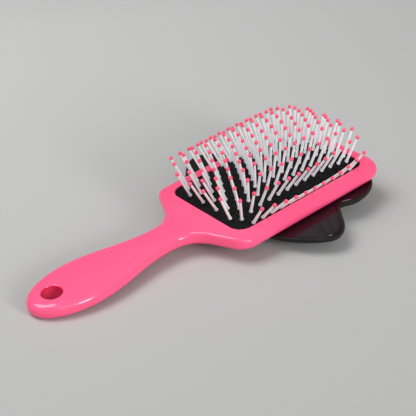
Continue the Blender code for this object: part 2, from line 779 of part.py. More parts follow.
def make_screws(material, parent):
    head_top = COVER_FLOOR + GAP + SCREW_HEAD_HEIGHT
    end = PANEL_TOP - SCREW_BITE
    profile = (
        (SCREW_RADIUS * SCREW_TIP_SHARE, end),
        (SCREW_RADIUS, end + SCREW_TIP),
        (SCREW_RADIUS, COVER_FLOOR + GAP),
        (SCREW_HEAD_RADIUS, COVER_FLOOR + GAP),
        (SCREW_HEAD_RADIUS * SCREW_CROWN_SHARE, head_top),
    )
    for number, centre in enumerate(screw_centres(), 1):
        screw = make_object("ornament_screw_%d" % number, turned(centre, profile), material, parent)
        shade(screw)


# Resting attitude

def lowest_point(items, tilt):
    """The vertex that comes lowest when the brush is tipped about X."""
    points = [vert.co for item in items for vert in item.data.vertices]
    return min(points, key=lambda point: point.y * math.sin(tilt) + point.z * math.cos(tilt))


def resting_tilt(body, wings):
    """Angle at which the butt of the handle and the wing domes are equally low."""
    tilt = 0.0
    for _ in range(TILT_ROUNDS):
        butt = lowest_point([body], tilt)
        crest = lowest_point(wings, tilt)
        tilt = math.atan2(butt.z - crest.z, crest.y - butt.y)
    return tilt


def stand_on_floor(brush):
    """Lowers the tipped brush onto Z = 0, and centres its box on the origin."""
    bpy.context.view_layer.update()
    points = []
    for item in brush.children_recursive:
        if item.type == "MESH":
            points += [item.matrix_world @ vert.co for vert in item.data.vertices]
    low = [min(point[side] for point in points) for side in range(3)]
    high = [max(point[side] for point in points) for side in range(3)]
    brush.location = (-(low[0] + high[0]) / 2, -(low[1] + high[1]) / 2, -low[2])


def main():
    clear_scene()
    pink = make_material("pink_gloss", (0.95, 0.10, 0.22), 0.22)
    pink_back = make_material("pink_back", (0.95, 0.10, 0.22), 0.25)
    rubber = make_material("black_rubber", (0.012, 0.012, 0.013), 0.62)
    ring_plastic = make_material("clamp_plastic", (0.05, 0.05, 0.05), 0.5)
    nylon = make_material("white_nylon", (0.82, 0.80, 0.82), 0.38)
    black_gloss = make_material("black_gloss", (0.010, 0.010, 0.011), 0.12)
    steel = make_material("screw_steel", (0.55, 0.55, 0.56), 0.35, 1.0)

    brush = make_empty("brush", None, (0.0, 0.0, 0.0))
    press_line = make_empty("press_line", brush, (0.0, WINDOW_LENGTH / 2, 0.0))

    body = make_body(pink, brush)
    make_back_cover(pink_back, brush)
    make_cushion(rubber, brush)
    make_clamp_ring(ring_plastic, brush)
    for name, feet in pin_strips():
        make_pin_strip(name, feet, nylon, press_line)
    wings = make_ornament(black_gloss, brush)
    make_screws(steel, brush)

    brush.rotation_euler = (resting_tilt(body, wings), 0.0, 0.0)
    stand_on_floor(brush)


main()
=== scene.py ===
import json
import math

import bpy
from mathutils import Matrix, Vector

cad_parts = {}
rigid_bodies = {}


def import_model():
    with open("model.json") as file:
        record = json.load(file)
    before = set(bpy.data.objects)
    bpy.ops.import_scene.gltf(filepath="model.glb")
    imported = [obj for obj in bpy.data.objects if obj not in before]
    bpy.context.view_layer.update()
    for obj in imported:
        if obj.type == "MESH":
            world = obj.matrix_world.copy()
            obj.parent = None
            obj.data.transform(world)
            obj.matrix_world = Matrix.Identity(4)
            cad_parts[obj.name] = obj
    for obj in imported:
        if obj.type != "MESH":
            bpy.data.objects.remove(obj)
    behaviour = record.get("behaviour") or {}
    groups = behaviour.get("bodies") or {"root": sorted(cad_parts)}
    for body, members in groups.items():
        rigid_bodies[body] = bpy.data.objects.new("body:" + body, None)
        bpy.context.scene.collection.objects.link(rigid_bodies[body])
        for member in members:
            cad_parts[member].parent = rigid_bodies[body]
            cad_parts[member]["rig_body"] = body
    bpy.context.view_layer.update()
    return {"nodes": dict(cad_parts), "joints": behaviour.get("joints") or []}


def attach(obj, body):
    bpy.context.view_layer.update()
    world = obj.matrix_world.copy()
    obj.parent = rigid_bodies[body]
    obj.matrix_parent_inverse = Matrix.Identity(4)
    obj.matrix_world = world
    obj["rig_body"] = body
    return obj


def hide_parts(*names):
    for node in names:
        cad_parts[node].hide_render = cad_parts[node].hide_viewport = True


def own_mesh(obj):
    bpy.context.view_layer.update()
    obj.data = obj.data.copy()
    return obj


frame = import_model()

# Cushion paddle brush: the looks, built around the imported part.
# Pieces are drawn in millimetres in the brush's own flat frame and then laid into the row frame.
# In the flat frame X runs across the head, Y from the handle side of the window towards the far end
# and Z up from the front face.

window = {
    "width": 64.0, "length": 108.0, "corner": 8.5, "cornerSteps": 14,
    "lip": 0.5, "lipSteps": 5, "lipDepth": 3.1,
}
outer = {
    "sideRim": 9.1, "endRim": 9.3, "headCorner": 14.0, "shoulderDrop": 3.3, "shoulderAngle": 25.7,
    "neckWidth": 19.7, "neckRadius": 19.3, "waist": 2.5, "handleWidth": 37.2, "swell": 57.0, "butt": 34.3,
    "thickness": 9.4, "backRound": 4.5, "backSteps": 8, "frontSteps": 10,
    "frontWall": 2.0, "sideWall": 3.3, "coverWall": 2.0, "gap": 0.3,
}
pastFace = 2.0  # how far a cutter reaches past a face
weld = 0.001  # points closer than this are one
halfWindow = window["width"] / 2
halfHead = halfWindow + outer["sideRim"]
headEnd = window["length"] + outer["endRim"]
middleY = window["length"] / 2


# Where the brush lies: its front face is square to the press of the cushion

def layBrush():
    press = next(joint for joint in frame["joints"] if joint["name"] == "centre_press")
    up = -Vector(press["axis"]).normalized()
    turn = Matrix.Rotation(math.atan2(-up.y, up.z), 4, "X")
    flat = [turn.inverted() @ vert.co for vert in frame["nodes"]["body"].data.vertices]
    mm = 0.001  # the row frame is in metres
    farEnd = max(point.y for point in flat) - headEnd * mm
    face = max(point.z for point in flat)
    return turn @ Matrix.Translation((0, farEnd, face)) @ Matrix.Scale(mm, 4), up


brushPlace, upAxis = layBrush()


# Hand tools

def only(item):
    bpy.ops.object.select_all(action="DESELECT")
    item.select_set(True)
    bpy.context.view_layer.objects.active = item


def editWith(item, kind, chosen):
    # opens edit mode with just these corners or edges selected
    only(item)
    bpy.ops.object.mode_set(mode="EDIT")
    bpy.ops.mesh.select_mode(type=kind)
    bpy.ops.mesh.select_all(action="DESELECT")
    bpy.ops.object.mode_set(mode="OBJECT")
    parts = {"VERT": item.data.vertices, "EDGE": item.data.edges}[kind]
    for index in chosen:
        parts[index].select = True
    bpy.ops.object.mode_set(mode="EDIT")


def closeUp():
    bpy.ops.mesh.normals_make_consistent(inside=False)
    bpy.ops.object.mode_set(mode="OBJECT")


def ringEdges(item, ring):
    members = set(ring)
    return [edge.index for edge in item.data.edges if members.issuperset(edge.vertices)]


def drawShell(name, rings):
    # a circle is pulled onto the first ring, then extruded edge by edge through the others and capped
    bpy.ops.object.select_all(action="DESELECT")
    bpy.ops.mesh.primitive_circle_add(vertices=len(rings[0]), radius=1.0, fill_type="NGON")
    item = bpy.context.object
    item.name = name
    item.data.name = name
    ring = list(range(len(rings[0])))
    for index, place in zip(ring, rings[0]):
        item.data.vertices[index].co = place
    for places in rings[1:]:
        editWith(item, "EDGE", ringEdges(item, ring))
        bpy.ops.mesh.extrude_edges_move(TRANSFORM_OT_translate={"value": (0, 0, 1)})
        bpy.ops.object.mode_set(mode="OBJECT")
        old = set(ring)
        follow = {}
        for edge in item.data.edges:
            first, second = edge.vertices
            if (first in old) != (second in old):
                low, high = (first, second) if first in old else (second, first)
                if item.data.vertices[high].select:
                    follow[low] = high
        ring = [follow[index] for index in ring]
        for index, place in zip(ring, places):
            item.data.vertices[index].co = place
    editWith(item, "VERT", ring)
    bpy.ops.mesh.edge_face_add()
    bpy.ops.mesh.select_all(action="SELECT")
    closeUp()
    return item


def carve(item, tool, operation="DIFFERENCE"):
    only(item)
    modifier = item.modifiers.new("carve", "BOOLEAN")
    modifier.operation = operation
    modifier.solver = "MANIFOLD"
    modifier.object = tool
    bpy.ops.object.modifier_apply(modifier=modifier.name)
    bpy.data.objects.remove(tool)
    editWith(item, "VERT", [])
    bpy.ops.mesh.select_all(action="SELECT")
    bpy.ops.mesh.remove_doubles(threshold=weld)
    closeUp()


def post(x, y, radius, low, high, sides=32):
    rings = [lifted(circle(x, y, radius, sides), height) for height in (low, high)]
    return drawShell("post", rings)


def settle(item, finish, body, nodes=(), angle=50.0):
    # lays a piece into the row frame, shades and dresses it, and lets it ride
    item.data.transform(brushPlace)
    only(item)
    bpy.ops.object.shade_smooth_by_angle(angle=math.radians(angle))
    item.data.materials.clear()
    item.data.materials.append(finish)
    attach(item, body)
    if nodes:
        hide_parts(*nodes)


# Outlines

def lifted(points, height):
    return [Vector((point.x, point.y, height)) for point in points]


def circle(x, y, radius, sides):
    turns = [math.tau * side / sides for side in range(sides)]
    return [Vector((x + radius * math.cos(turn), y + radius * math.sin(turn))) for turn in turns]


def sweep(x, y, radius, start, end, steps):
    turns = [start + (end - start) * step / steps for step in range(steps + 1)]
    return [Vector((x + radius * math.cos(turn), y + radius * math.sin(turn))) for turn in turns]


def windowRing(grow=0.0):
    reach, corner = halfWindow - window["corner"], window["corner"]
    ring = []
    for quarter, (x, y) in enumerate(((reach, corner), (reach, window["length"] - corner),
                                      (-reach, window["length"] - corner), (-reach, corner))):
        start = math.pi / 2 * (quarter - 1)
        ring += sweep(x, y, corner + grow, start, start + math.pi / 2, window["cornerSteps"])
    return ring


def blendPair(first, second, share):
    share = min(max(share, 0.0), 1.0)
    share = share * share * (3 - 2 * share)
    return tuple(a + (b - a) * share for a, b in zip(first, second))


# Width and depth of the rounded front edge: full on the grip, crisp over the shoulders, arched on the rim
edges = {
    "grip": (4.8, 3.8), "shoulder": (2.0, 1.9), "rim": (6.6, 4.4), "blendFrom": 0.25, "blendOver": 0.5,
    "buttSteps": 30, "swellSteps": 24, "neckSteps": 22, "cornerSteps": 18, "sideSteps": 16,
}


def halfOutline():
    # right half of the brush from the butt to the far end, each point with its own edge
    halfNeck, halfHandle = outer["neckWidth"] / 2, outer["handleWidth"] / 2
    slope = math.radians(outer["shoulderAngle"])
    bend = math.pi / 2 - slope
    shoulderY = -outer["shoulderDrop"]
    neckY = shoulderY - (halfHead - halfNeck) * math.tan(slope) - outer["neckRadius"] * math.tan(bend / 2)
    cornerY = shoulderY + outer["headCorner"] * math.tan(bend / 2)
    waistY = neckY - outer["waist"]
    wideY = waistY - outer["swell"]
    line = []
    for step in range(edges["buttSteps"] + 1):
        turn = math.pi / 2 * step / edges["buttSteps"]
        spot = Vector((halfHandle * math.sin(turn), wideY - outer["butt"] * math.cos(turn)))
        line.append((spot, edges["grip"]))
    for step in range(1, edges["swellSteps"] + 1):
        share = step / edges["swellSteps"]
        swell = (1 + math.cos(math.pi * share)) / 2
        spot = Vector((halfNeck + (halfHandle - halfNeck) * swell, wideY + outer["swell"] * share))
        line.append((spot, edges["grip"]))
    neckX, neckSteps = halfNeck + outer["neckRadius"], edges["neckSteps"]
    neckArc = sweep(neckX, neckY, outer["neckRadius"], math.pi, math.pi - bend, neckSteps)
    for step, point in enumerate(neckArc):
        share = (step / neckSteps - edges["blendFrom"]) / edges["blendOver"]
        line.append((point, blendPair(edges["grip"], edges["shoulder"], share)))
    cornerX, cornerSteps = halfHead - outer["headCorner"], edges["cornerSteps"]
    lowArc = sweep(cornerX, cornerY, outer["headCorner"], -bend, 0.0, cornerSteps)
    for step, point in enumerate(lowArc):
        line.append((point, blendPair(edges["shoulder"], edges["rim"], step / cornerSteps)))
    farY = headEnd - outer["headCorner"]
    for step in range(1, edges["sideSteps"]):
        spot = Vector((halfHead, cornerY + (farY - cornerY) * step / edges["sideSteps"]))
        line.append((spot, edges["rim"]))
    for point in sweep(cornerX, farY, outer["headCorner"], 0.0, math.pi / 2, cornerSteps):
        line.append((point, edges["rim"]))
    return line


def bothHalves(half):
    left = [(Vector((-point.x, point.y)), edge) for point, edge in reversed(half) if point.x > weld]
    return half + left


def mirrored(points):
    return points + [Vector((-point.x, point.y)) for point in reversed(points) if point.x > weld]


def inwards(points):
    # unit directions square to an outline that runs anticlockwise
    ways = []
    for index, point in enumerate(points):
        ahead = (points[(index + 1) % len(points)] - point).normalized()
        behind = (point - points[index - 1]).normalized()
        run = ahead + behind
        ways.append(Vector((-run.y, run.x)).normalized())
    return ways


def shrunk(points, inset):
    return [point + way * inset for point, way in zip(points, inwards(points))]


# Finishes

class Socket:  # a shader socket that takes part in sums
    def __init__(self, finish, output):
        self.finish, self.output = finish, output

    def sum(self, operation, first, second):
        return self.finish.node("ShaderNodeMath", {"operation": operation}, {0: first, 1: second})

    def __add__(self, other):
        return self.sum("ADD", self, other)

    def __rsub__(self, other):
        return self.sum("SUBTRACT", other, self)

    def __mul__(self, other):
        return self.sum("MULTIPLY", self, other)


class Finish:  # one material, with plain numbers on the shader's own sockets
    def __init__(self, name, **sockets):
        self.material = bpy.data.materials.new(name)
        self.material.use_nodes = True
        self.tree = self.material.node_tree
        self.shader = self.tree.nodes["Principled BSDF"]
        for socket, value in sockets.items():
            self.shader.inputs[socket.replace("_", " ")].default_value = value

    def node(self, kind, settings, sockets, output=0):
        made = self.tree.nodes.new(kind)
        for name, value in settings.items():
            setattr(made, name, value)
        for name, value in sockets.items():
            self.feed(made.inputs[name], value)
        return Socket(self, made.outputs[output])

    def feed(self, socket, value):
        if isinstance(value, Socket):
            self.tree.links.new(value.output, socket)
        else:
            socket.default_value = value

    def give(self, name, value):
        self.feed(self.shader.inputs[name], value)

    def place(self):
        return self.node("ShaderNodeTexCoord", {}, {}, "Object")

    def noise(self, scale, detail=2.0, roughness=0.5, stretch=None):
        where = self.place()
        if stretch:
            where = self.node("ShaderNodeMapping", {}, {"Vector": where, "Scale": stretch})
        return self.node("ShaderNodeTexNoise", {}, {"Vector": where, "Scale": scale, "Detail": detail,
                                                    "Roughness": roughness})

    def level(self, value, low, high):
        # 0 up to the low value, 1 from the high value on
        return self.node("ShaderNodeMapRange", {"clamp": True}, {0: value, 1: low, 2: high})

    def mix(self, share, first, second):
        return self.node("ShaderNodeMix", {"data_type": "RGBA"}, {0: share, 6: first, 7: second}, 2)

    def offAxis(self, centre, axis):
        # distance from a straight line
        spoke = self.node("ShaderNodeVectorMath", {"operation": "SUBTRACT"}, {0: self.place(), 1: centre})
        square = self.node("ShaderNodeVectorMath", {"operation": "CROSS_PRODUCT"}, {0: spoke, 1: axis})
        return self.node("ShaderNodeVectorMath", {"operation": "LENGTH"}, {0: square}, "Value")

    def bump(self, height, strength, distance):
        return self.node("ShaderNodeBump", {}, {"Height": height, "Strength": strength, "Distance": distance})


def colour(red, green, blue):
    return (red, green, blue, 1.0)


# Bright pink moulding: even colour, a faint flow mottle, fine peel in the gloss and soft handling marks.
# A painted glow gives it red light of its own on every face, lit or not, except in the bore of the hang hole.
# The bore has painted shade, a deep dark red, and a painted reflection: what it mirrors is tinted pink.
def pinkMoulding(name, roughness, peel, paintedGlowStrength, boreCentre):
    finish = Finish(name, IOR=1.49, Subsurface_Weight=0.12, Subsurface_Radius=(1.0, 0.25, 0.3),
                    Subsurface_Scale=0.003, Emission_Strength=paintedGlowStrength)
    flow = finish.noise(38.0, 4.0, 0.55, (1.0, 0.35, 1.0))
    mottle = finish.level(flow, 0.35, 0.65)
    outside = finish.level(finish.offAxis(boreCentre, upAxis), *hang["boreShadeEdge"])
    plain = finish.mix(mottle, colour(0.955, 0.099, 0.213), colour(0.98, 0.112, 0.236))
    # painted shade and painted reflection in the bore: deep dark red colour, and a metal share that tints the
    # mirror pink
    finish.give("Base Color", finish.mix(outside, colour(0.72, 0.004, 0.030), plain))
    finish.give("Metallic", (1.0 - outside) * 0.55)
    # painted glow: red light of its own, switched off only in the bore
    paintedGlowColour = finish.mix(mottle, colour(0.93, 0.002, 0.27), colour(0.98, 0.004, 0.30))
    finish.give("Emission Color", finish.mix(outside, colour(0.0, 0.0, 0.0), paintedGlowColour))
    rubbed = finish.level(finish.noise(120.0, 5.0, 0.6), 0.42, 0.72)
    specks = finish.level(finish.noise(2600.0, 2.0), 0.66, 0.74)
    finish.give("Roughness", rubbed * 0.05 + specks * 0.08 + roughness)
    waves = finish.noise(60.0, 1.0) * 3.0 + finish.noise(900.0, 2.0) * peel
    finish.give("Normal", finish.bump(waves, 0.06, 0.0006))
    return finish.material


# Moulded rubber: near black, dull, a fine pebbled grain with painted highlights on its crowns and painted
# shade between
def padRubber():
    finish = Finish("pad_rubber", IOR=1.45, Specular_IOR_Level=0.19)
    pebble = finish.node("ShaderNodeTexVoronoi", {}, {"Vector": finish.place(), "Scale": 850.0})
    pebbleHollows = finish.level(pebble, 0.05, 0.55)
    dust = finish.level(finish.noise(1100.0, 3.0, 0.7), 0.56, 0.74)
    patches = finish.level(finish.noise(70.0, 3.0), 0.35, 0.7)
    # painted highlight and painted shade: pebble crowns lighter, the hollows between them darker
    deep = finish.mix(pebbleHollows, colour(0.0130, 0.0130, 0.0135), colour(0.0015, 0.0015, 0.0018))
    finish.give("Base Color", finish.mix(dust * 0.40, deep, colour(0.035, 0.034, 0.036)))
    finish.give("Roughness", patches * 0.08 + pebbleHollows * 0.10 + 0.66)
    relief = (1.0 - pebbleHollows) * 0.7 + finish.noise(5200.0, 2.0) * 0.3
    finish.give("Normal", finish.bump(relief, 0.65, 0.0005))
    return finish.material


# Milky nylon: slightly cloudy, with faint draw marks up the pins
def pinNylon():
    finish = Finish("pin_nylon", IOR=1.53, Subsurface_Weight=0.20, Subsurface_Radius=(1.0, 0.9, 0.95),
                    Subsurface_Scale=0.0015)
    cloud = finish.level(finish.noise(260.0, 3.0), 0.3, 0.7)
    finish.give("Base Color", finish.mix(cloud, colour(0.82, 0.84, 0.86), colour(0.88, 0.895, 0.915)))
    finish.give("Roughness", finish.noise(800.0, 2.0) * 0.16 + 0.26)
    drawn = finish.noise(1500.0, 2.0, 0.5, (1.0, 1.0, 0.12))
    finish.give("Normal", finish.bump(drawn, 0.12, 0.0001))
    return finish.material


# Dipped ball tips: pink lacquer, slightly uneven, with a faint painted glow of red light of their own
def tipLacquer():
    # painted glow: the tips give off a little red light of their own
    finish = Finish("tip_lacquer", IOR=1.5, Emission_Strength=0.10)
    dip = finish.level(finish.noise(420.0, 2.0), 0.3, 0.7)
    finish.give("Base Color", finish.mix(dip, colour(0.90, 0.070, 0.165), colour(0.97, 0.110, 0.225)))
    finish.give("Emission Color", colour(0.95, 0.01, 0.03))
    finish.give("Roughness", dip * 0.10 + 0.28)
    finish.give("Normal", finish.bump(finish.noise(1800.0, 2.0), 0.10, 0.0001))
    return finish.material


# Black styrene: soft gloss with a little dust and dull rubbed spots
def blackPolish():
    finish = Finish("black_polish", IOR=1.42)
    dust = finish.level(finish.noise(1900.0, 3.0, 0.7), 0.64, 0.78)
    rubbed = finish.level(finish.noise(55.0, 5.0, 0.62), 0.50, 0.70)
    base = finish.mix(rubbed * 0.5, colour(0.0025, 0.0025, 0.003), colour(0.007, 0.007, 0.0075))
    finish.give("Base Color", finish.mix(dust * 0.20, base, colour(0.05, 0.05, 0.05)))
    finish.give("Roughness", rubbed * 0.10 + dust * 0.10 + 0.17)
    finish.give("Normal", finish.bump(finish.noise(110.0, 2.0), 0.05, 0.0004))
    return finish.material


# Dark plastic of the hidden clamp ring, with the grain of a spark-eroded mould
def ringPlastic():
    finish = Finish("ring_plastic", IOR=1.5)
    spark = finish.noise(2200.0, 3.0, 0.6)
    finish.give("Base Color", finish.mix(spark, colour(0.030, 0.030, 0.032), colour(0.060, 0.060, 0.062)))
    finish.give("Roughness", spark * 0.2 + 0.42)
    finish.give("Normal", finish.bump(spark, 0.25, 0.00015))
    return finish.material


# Zinc-plated steel of the screws
def screwSteel():
    finish = Finish("screw_steel", Metallic=1.0)
    cloud = finish.level(finish.noise(900.0, 4.0, 0.6), 0.3, 0.7)
    finish.give("Base Color", finish.mix(cloud, colour(0.50, 0.50, 0.52), colour(0.66, 0.66, 0.65)))
    finish.give("Roughness", cloud * 0.18 + 0.24)
    finish.give("Normal", finish.bump(finish.noise(3000.0, 2.0), 0.15, 0.0001))
    return finish.material


rubberBlack = padRubber()
nylonWhite = pinNylon()
tipPink = tipLacquer()
polishedBlack = blackPolish()
ringBlack = ringPlastic()
zincSteel = screwSteel()
print("finishes ready")


# Handle and frame, one moulding, with the back cover let in behind

hang = {
    "radius": 6.0, "inset": 15.0, "mouth": 1.0, "tube": 2.4, "sides": 56, "steps": 7,
    # the bore's painted shade and painted pink reflection fade out between these two distances
    "boreShadeEdge": (0.0057, 0.0064),  # metres from the axis, where the tint of the bore fades out
}
pegs = {
    "radius": 1.6, "cupWall": 1.4, "cupHeight": 3.4, "depth": 2.8, "neckGap": 10.0,
    "shares": (0.0, 0.42, 0.84),
}
screwHole = {"radius": 1.3, "sides": 20, "depth": 3.5, "boss": 2.6, "bossSides": 24, "bossShare": 0.75}
coverSteps = 6
outline = bothHalves(halfOutline())
outlinePoints = [point for point, edge in outline]
outlineWays = inwards(outlinePoints)
gripPoints = [point for point, edge in halfOutline() if point.y < -outer["neckRadius"]]
holeY = outlinePoints[0].y + hang["inset"]
coverFloor = -outer["thickness"] + outer["coverWall"]
boreCentre = brushPlace @ Vector((0, holeY, 0))
# the body carries a faint painted glow, the cover none
bodyPink = pinkMoulding("body_pink", 0.11, 0.5, 0.10, boreCentre)
coverPink = pinkMoulding("cover_pink", 0.16, 0.8, 0.0, boreCentre)


def quarter(steps):
    return [math.pi / 2 * step / steps for step in range(steps + 1)]


def backRing(inset):
    # the rounded back edge, met at a distance in from the outline
    rest = outer["backRound"] - inset
    rise = math.sqrt(max(outer["backRound"] ** 2 - rest ** 2, 0.0))
    return lifted(shrunk(outlinePoints, inset), -outer["thickness"] + outer["backRound"] - rise)


def bodyRings():
    # from the ceiling of the hollow down its wall, round the back edge and up over the front
    rings = [lifted(shrunk(outlinePoints, outer["sideWall"]), -window["lipDepth"])]
    rings += [backRing(outer["sideWall"] * (1 - math.sin(turn))) for turn in quarter(outer["backSteps"])]
    for turn in quarter(outer["frontSteps"]):
        ring = []
        for (point, (wide, deep)), way in zip(outline, outlineWays):
            spot = point + way * wide * (1 - math.cos(turn))
            ring.append(Vector((spot.x, spot.y, deep * (math.sin(turn) - 1))))
        rings.append(ring)
    return rings


def windowCutter():
    rings = [lifted(windowRing(), -outer["thickness"])]
    for turn in quarter(window["lipSteps"]):
        ring = windowRing(window["lip"] * (1 - math.cos(turn)))
        rings.append(lifted(ring, window["lip"] * (math.sin(turn) - 1)))
    rings.append(lifted(windowRing(window["lip"]), pastFace))
    return drawShell("window_cutter", rings)


def hangRing(flare, height):
    return lifted(circle(0, holeY, hang["radius"] + flare, hang["sides"]), height)


def hangCutter():
    mouth = hang["mouth"]
    rings = [hangRing(mouth, -outer["thickness"] - pastFace)]
    for turn in quarter(hang["steps"]):
        depth = mouth * (1 - math.cos(turn))
        rings.append(hangRing(mouth * (1 - math.sin(turn)), -outer["thickness"] + depth))
    for turn in reversed(quarter(hang["steps"])):
        depth = mouth * (1 - math.cos(turn))
        rings.append(hangRing(mouth * (1 - math.sin(turn)), -depth))
    rings.append(hangRing(mouth, pastFace))
    return drawShell("hang_cutter", rings)


def pegPlaces():
    start = holeY + hang["radius"] + hang["tube"] + pegs["radius"] + pegs["cupWall"] + 2 * outer["gap"]
    end = gripPoints[-1].y - pegs["neckGap"]
    return [start + (end - start) * share for share in pegs["shares"]]


def makeBody():
    body = drawShell("handle_and_frame", bodyRings())
    inner = shrunk(mirrored(gripPoints), outer["sideWall"] + outer["gap"])
    carve(body, drawShell("grip_pocket", [lifted(inner, coverFloor), lifted(inner, -outer["frontWall"])]))
    carve(body, windowCutter())
    rooted = -outer["frontWall"] / 2
    tube = hang["radius"] + hang["tube"]
    carve(body, post(0, holeY, tube, -outer["thickness"], rooted, hang["sides"]), "UNION")
    carve(body, hangCutter())
    pegEnd = coverFloor + pegs["cupHeight"] - pegs["depth"] + outer["gap"]
    for y in pegPlaces():
        carve(body, post(0, y, pegs["radius"], pegEnd, rooted), "UNION")
    settle(body, bodyPink, "brush", ["body"])
    evenShade(body)


def evenShade(item):
    # large flat faces keep their own shade right up to the rounds
    modifier = item.modifiers.new("even", "WEIGHTED_NORMAL")
    modifier.keep_sharp = True
    only(item)
    bpy.ops.object.modifier_apply(modifier=modifier.name)


def screwBore(place, low, high):
    return post(place.x, place.y, screwHole["radius"], low, high, screwHole["sides"])


def makeCover(screwPlaces):
    seam = outer["sideWall"] + outer["gap"]
    run = seam - outer["backRound"]
    rings = [backRing(outer["backRound"] + run * step / coverSteps) for step in range(coverSteps + 1)]
    rings.append(lifted(shrunk(outlinePoints, seam), coverFloor))
    cover = drawShell("cover_behind", rings)
    below = -outer["thickness"] - pastFace
    tube = hang["radius"] + hang["tube"] + outer["gap"]
    carve(cover, post(0, holeY, tube, below, pastFace, hang["sides"]))
    cup = pegs["radius"] + outer["gap"]
    cupTop = coverFloor + pegs["cupHeight"]
    for y in pegPlaces():
        carve(cover, post(0, y, cup + pegs["cupWall"], coverFloor - outer["coverWall"] / 2, cupTop), "UNION")
        carve(cover, post(0, y, cup, cupTop - pegs["depth"], pastFace))
    for place in screwPlaces:
        carve(cover, screwBore(place, below, pastFace))
    settle(cover, coverPink, "brush", ["back_cover"])
    evenShade(cover)


makeBody()
print("body ready")


# Rubber pad: crowned, tucked under the lip, drawn down a little at every pin

pad = {
    "skin": 1.1, "crown": 8.8, "acrossPower": 3.8, "alongPower": 4.2, "flange": 5.5,
    "edge": -3.4, "brim": -0.5, "brimBlend": 0.8, "cells": (150, 250), "smooth": 60.0,
    "dimple": 0.30, "dimpleReach": 1.9, "patch": 6.0, "collar": 0.16, "collarAt": 1.7, "collarReach": 0.7,
}
field = {
    "rows": 11, "inRow": 14, "atEnds": 2, "sideMargin": 2.0, "endMargin": 5.4, "cornerRoom": 2.9,
    "leanAcross": (0.55, 0.70, -0.77), "leanAlong": (0.26, 0.34, -0.34), "handleLean": 0.05,
}


def crown(x, y):
    across = min(abs(x) / halfWindow, 1.0) ** pad["acrossPower"]
    along = min(abs(y - middleY) / middleY, 1.0) ** pad["alongPower"]
    dome = pad["edge"] + (pad["crown"] - pad["edge"]) * (1 - across) * (1 - along)
    # near the frame the dome runs out softly into a level brim
    above = dome - pad["brim"]
    return pad["brim"] + (above + math.sqrt(above * above + pad["brimBlend"] ** 2)) / 2


def pinWay(x, y):
    across, along = x / halfWindow, (y - middleY) / middleY
    first, second, third = field["leanAcross"]
    leanX = across * (first + second * across ** 2 + third * along ** 2)
    first, second, third = field["leanAlong"]
    leanY = along * (first + second * along ** 2 + third * across ** 2) - field["handleLean"]
    return Vector((leanX, leanY, 1.0)).normalized()


def clearOfCorner(x, y):
    over = max(abs(x) - halfWindow + window["corner"], 0.0)
    beyond = max(abs(y - middleY) - middleY + window["corner"], 0.0)
    return over == 0 or beyond == 0 or math.hypot(over, beyond) < window["corner"] - field["cornerRoom"]


def pinRows():
    rowPitch = (window["width"] - 2 * field["sideMargin"]) / (field["rows"] - 1)
    pitch = (window["length"] - 2 * field["endMargin"]) / (field["inRow"] - 1)
    rows = []
    for row in range(field["rows"]):
        x = (row - (field["rows"] - 1) / 2) * rowPitch
        setOn = row % 2
        ys = [field["endMargin"] + pitch * (index + setOn / 2) for index in range(field["inRow"] - setOn)]
        rows.append([Vector((x, y, crown(x, y))) for y in ys if clearOfCorner(x, y)])
    return rows


def roundCorner(x, y):
    # bends the square corners of a grid onto the round corners of the window
    reachX, reachY = halfWindow - window["corner"], middleY - window["corner"]
    over, beyond = max(abs(x) - reachX, 0.0), max(abs(y) - reachY, 0.0)
    if over == 0 or beyond == 0:
        return x, y
    across, along = over / window["corner"], beyond / window["corner"]
    newX = reachX + window["corner"] * across * math.sqrt(1 - along * along / 2)
    newY = reachY + window["corner"] * along * math.sqrt(1 - across * across / 2)
    return math.copysign(newX, x), math.copysign(newY, y)


def dimples(x, y, feet):
    sink = 0.0
    for foot in feet:
        away = math.hypot(x - foot.x, y - foot.y)
        if away < 3 * pad["dimpleReach"]:
            sink += pad["dimple"] * math.exp(-(away / pad["dimpleReach"]) ** 2)
            sink -= pad["collar"] * math.exp(-((away - pad["collarAt"]) / pad["collarReach"]) ** 2)
    return sink


def patchOf(x, y):
    # the square patch a point lies in: a dimple reaches no further than the next one
    return round(x / pad["patch"]), round(y / pad["patch"])


def makePad():
    bpy.ops.object.select_all(action="DESELECT")
    across, along = pad["cells"]
    bpy.ops.mesh.primitive_grid_add(x_subdivisions=across, y_subdivisions=along, size=2.0)
    rubber = bpy.context.object
    rubber.name = "rubber_pad"
    near = {}
    for row in pinRows():
        for foot in row:
            patchX, patchY = patchOf(foot.x, foot.y)
            for stepX in (-1, 0, 1):
                for stepY in (-1, 0, 1):
                    near.setdefault((patchX + stepX, patchY + stepY), []).append(foot)
    shrink = (halfWindow - outer["gap"]) / halfWindow
    for vert in rubber.data.vertices:
        x, y = roundCorner(vert.co.x * halfWindow, vert.co.y * middleY)
        y += middleY
        z = crown(x, y) - dimples(x, y, near.get(patchOf(x, y), ()))
        vert.co = (x * shrink, middleY + (y - middleY) * shrink, z)
    for bend in (hemPlace, flangePlace):
        editWith(rubber, "EDGE", [edge.index for edge in openEdges(rubber)])
        bpy.ops.mesh.extrude_edges_move(TRANSFORM_OT_translate={"value": (0, 0, 0)})
        bpy.ops.object.mode_set(mode="OBJECT")
        for vert in rubber.data.vertices:
            if vert.select:
                vert.co = bend(vert.co)
    only(rubber)
    modifier = rubber.modifiers.new("skin", "SOLIDIFY")
    modifier.thickness = pad["skin"]
    modifier.offset = -1.0
    modifier.use_even_offset = False
    bpy.ops.object.modifier_apply(modifier=modifier.name)
    settle(rubber, rubberBlack, "brush", ["cushion"], pad["smooth"])
    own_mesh(rubber)


def openEdges(item):
    count = {}
    for face in item.data.polygons:
        for key in face.edge_keys:
            count[key] = count.get(key, 0) + 1
    return [edge for edge in item.data.edges if count[edge.key] == 1]


